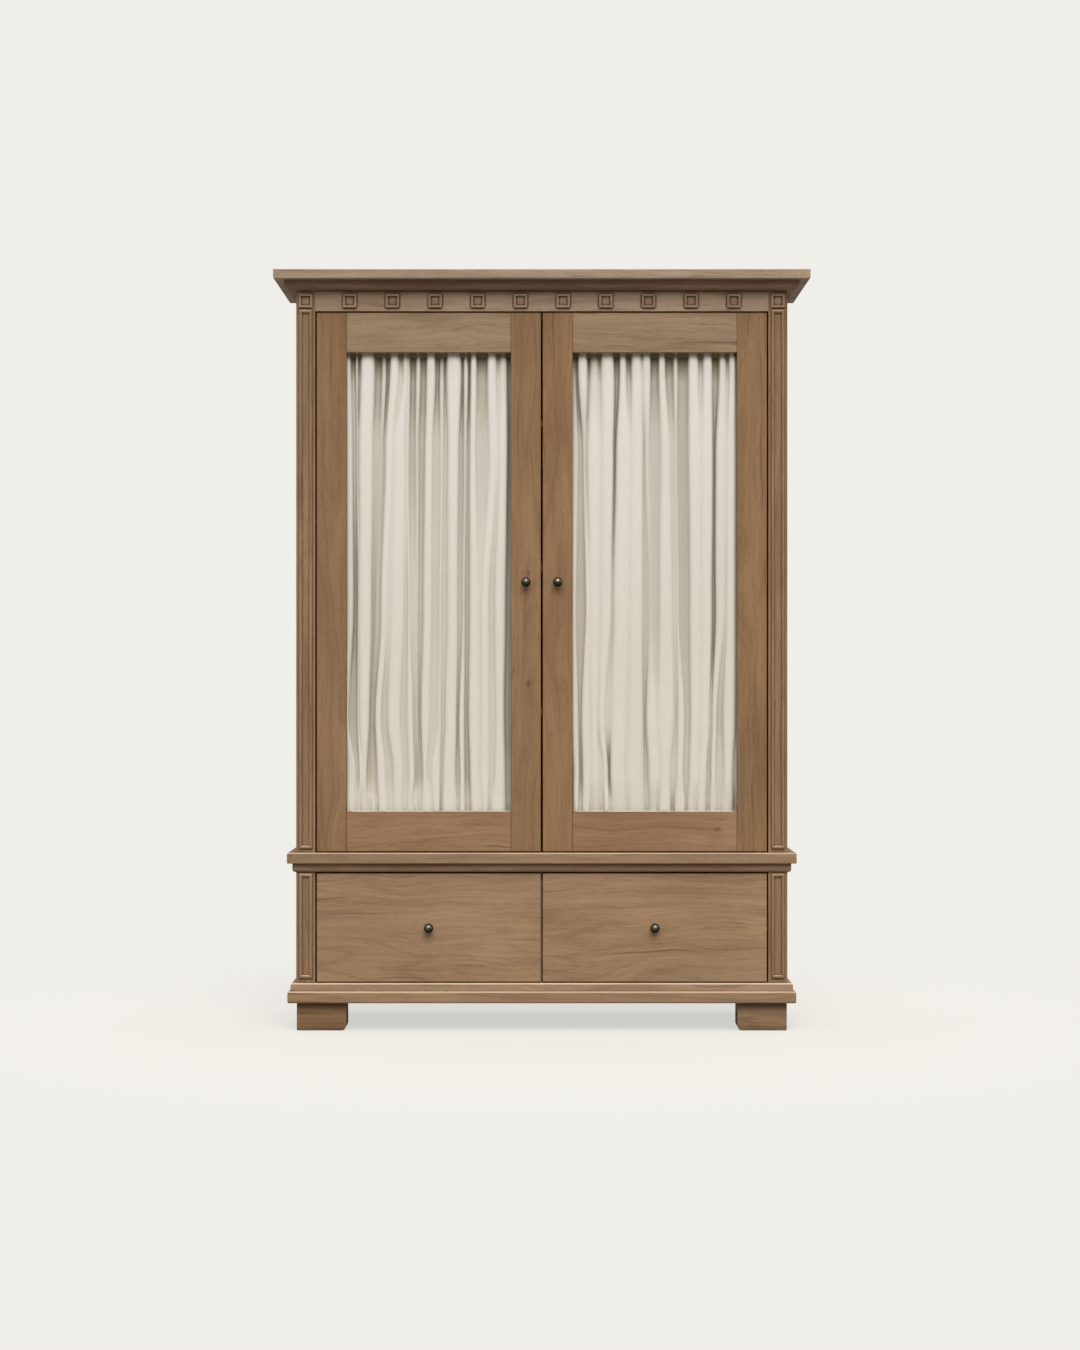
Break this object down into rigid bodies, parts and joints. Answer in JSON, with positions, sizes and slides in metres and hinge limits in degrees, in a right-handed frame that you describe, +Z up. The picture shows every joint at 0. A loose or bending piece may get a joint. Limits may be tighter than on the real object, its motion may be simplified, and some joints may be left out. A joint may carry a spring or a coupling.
{
  "type": "linen press",
  "caption": "Tall oak linen press: curtained doors over deep drawers, on block feet, with a moulded crown and square blocks along the frieze.",
  "frame": {"origin": "on the floor, in the middle of the width and of the overall depth", "axes": "+Z up, the doors face -Y, +X to the right of someone who faces the doors"},
  "size_m": [1.43, 0.537, 2.033],
  "materials": {
    "oak": "brushed oak, limed brown, dull wax",
    "inner_oak": "sanded oak, clear matt oil",
    "linen": "washed linen, undyed",
    "dark_bronze": "aged, rubbed on the high spots",
    "brass": "satin",
    "steel": "brushed"
  },
  "bodies": {
    "case": {"foot_front_left": "oak", "foot_front_right": "oak", "foot_rear_left": "oak", "foot_rear_right": "oak", "base_board": "oak", "plinth_moulding": "oak", "lower_side_left": "oak", "lower_side_right": "oak", "lower_post_left": "oak", "lower_post_right": "oak", "lower_top_rails": "oak", "waist_moulding": "oak", "waist_board": "oak", "upper_side_left": "oak", "upper_side_right": "oak", "upper_post_left": "oak", "upper_post_right": "oak", "frieze_rail": "oak", "frieze_blocks": "oak", "post_frames": "oak", "crown_moulding": "oak", "crown_board": "oak", "case_bottom": "inner_oak", "lower_back": "inner_oak", "upper_back": "inner_oak", "drawer_divider": "inner_oak", "drawer_runners": "inner_oak", "door_stop_rail": "inner_oak", "shelves": "inner_oak", "shelf_cleats": "inner_oak", "door_pivots": "brass", "magnet_catches": "steel"},
    "door_left": {"door_left_hinge_stile": "oak", "door_left_meeting_stile": "oak", "door_left_top_rail": "oak", "door_left_bottom_rail": "oak", "door_left_curtain": "linen", "door_left_curtain_rods": "brass", "door_left_rod_sockets": "brass", "door_left_plates": "steel", "door_left_knob": "dark_bronze"},
    "door_right": {"door_right_hinge_stile": "oak", "door_right_meeting_stile": "oak", "door_right_top_rail": "oak", "door_right_bottom_rail": "oak", "door_right_curtain": "linen", "door_right_curtain_rods": "brass", "door_right_rod_sockets": "brass", "door_right_plates": "steel", "door_right_knob": "dark_bronze"},
    "drawer_left": {"drawer_left_front": "oak", "drawer_left_sides": "inner_oak", "drawer_left_back": "inner_oak", "drawer_left_bottom": "inner_oak", "drawer_left_knob": "dark_bronze"},
    "drawer_right": {"drawer_right_front": "oak", "drawer_right_sides": "inner_oak", "drawer_right_back": "inner_oak", "drawer_right_bottom": "inner_oak", "drawer_right_knob": "dark_bronze"}
  },
  "joints": [
    {"name": "door_left_swing", "type": "hinge", "parent": "case", "child": "door_left", "pos_m": [-0.583, -0.199, 0.48], "axis": [0, 0, -1], "range_deg": [0, 110]},
    {"name": "door_right_swing", "type": "hinge", "parent": "case", "child": "door_right", "pos_m": [0.583, -0.199, 0.48], "axis": [0, 0, 1], "range_deg": [0, 110]},
    {"name": "drawer_left_slide", "type": "slide", "parent": "case", "child": "drawer_left", "axis": [0, -1, 0], "range_m": [0, 0.38]},
    {"name": "drawer_right_slide", "type": "slide", "parent": "case", "child": "drawer_right", "axis": [0, -1, 0], "range_m": [0, 0.38]}
  ]
}
